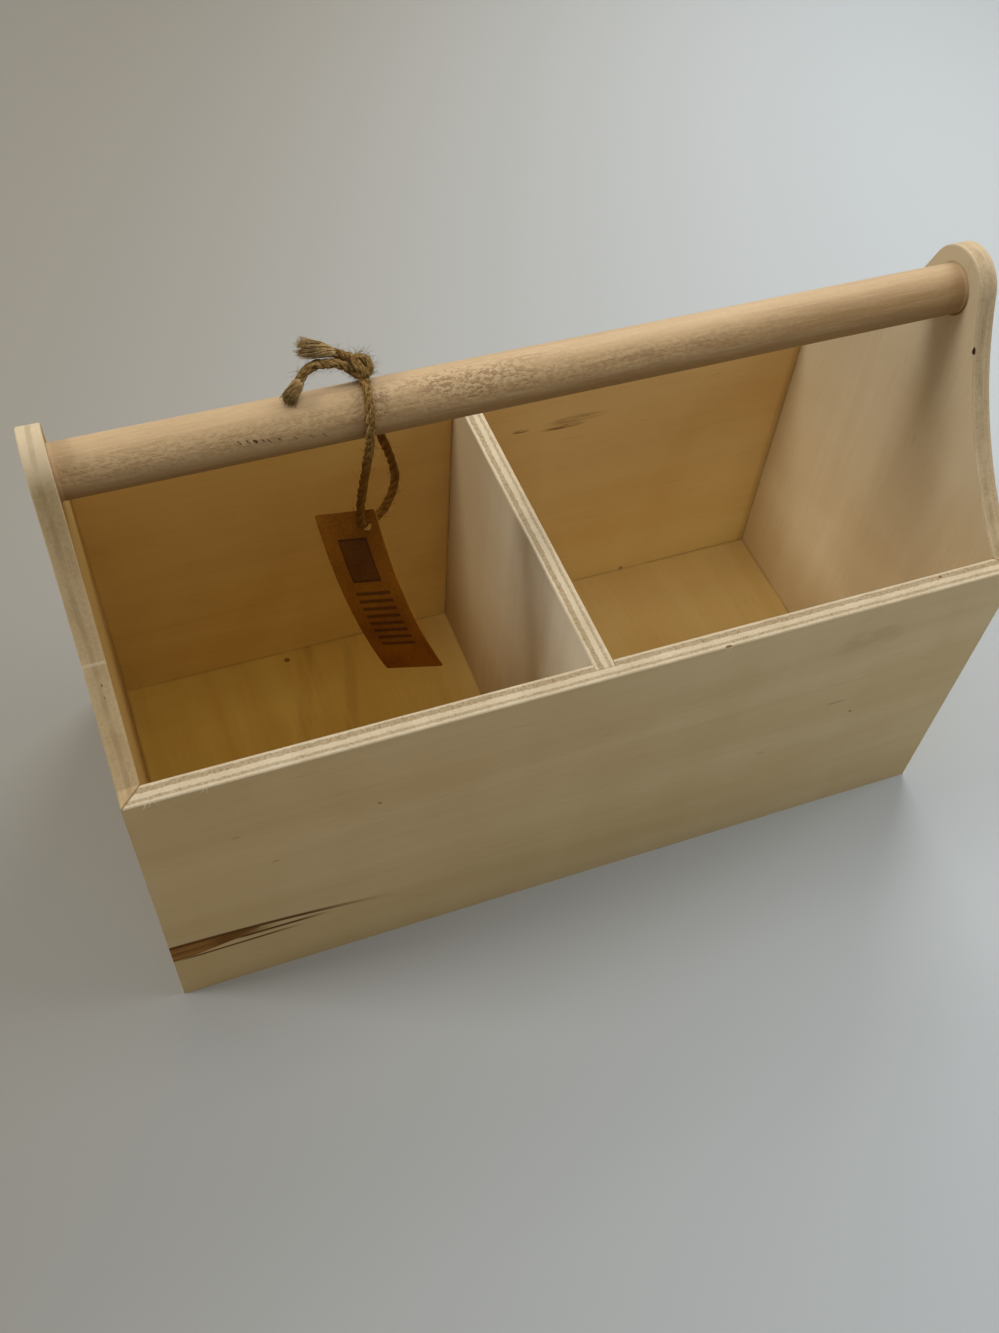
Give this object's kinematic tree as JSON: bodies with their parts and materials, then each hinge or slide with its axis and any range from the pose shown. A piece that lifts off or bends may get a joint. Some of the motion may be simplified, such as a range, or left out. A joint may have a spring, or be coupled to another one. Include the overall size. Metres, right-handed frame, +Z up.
{
  "type": "wooden tote caddy",
  "caption": "Open-top plywood tote with a cross divider, shaped end panels carrying a round dowel handle, and a card tag hung on twine.",
  "frame": {"origin": "on the floor, under the middle of the caddy", "axes": "+X along the caddy to the right, +Y from the front wall to the back wall, +Z up"},
  "size_m": [0.355, 0.17, 0.2478],
  "materials": {
    "plywood": "bare sanded poplar plywood",
    "bottom_plywood": "bare sanded thin plywood",
    "dowel_wood": "bare turned dowel",
    "brad_steel": "bright brads",
    "jute_twine": "twisted natural jute",
    "kraft_card": "uncoated kraft card"
  },
  "bodies": {
    "carcass": {"front_panel": "plywood", "back_panel": "plywood", "left_end_panel": "plywood", "right_end_panel": "plywood", "bottom_panel": "bottom_plywood", "divider_panel": "plywood", "handle_dowel": "dowel_wood", "bottom_brads": "brad_steel", "divider_brads": "brad_steel", "handle_brads": "brad_steel"},
    "twine_loop": {"twine_collar": "jute_twine", "twine_knot": "jute_twine", "twine_tail_upper": "jute_twine", "twine_tail_lower": "jute_twine"},
    "twine_strands": {"twine_drop": "jute_twine"},
    "tag": {"hang_tag": "kraft_card"}
  },
  "joints": [
    {"name": "twine_slide", "type": "slide", "parent": "carcass", "child": "twine_loop", "axis": [1, 0, 0], "range_m": [-0.07, 0.025]},
    {"name": "twine_swing", "type": "hinge", "parent": "twine_loop", "child": "twine_strands", "pos_m": [-0.0645, 0, 0.222], "axis": [1, 0, 0], "range_deg": [-18, 40], "deforming": ["twine_drop"]},
    {"name": "tag_swing", "type": "hinge", "parent": "twine_strands", "child": "tag", "pos_m": [-0.0689, -0.0084, 0.1753], "axis": [0.6448, 0.6915, -0.3256], "range_deg": [-15, 15]}
  ]
}
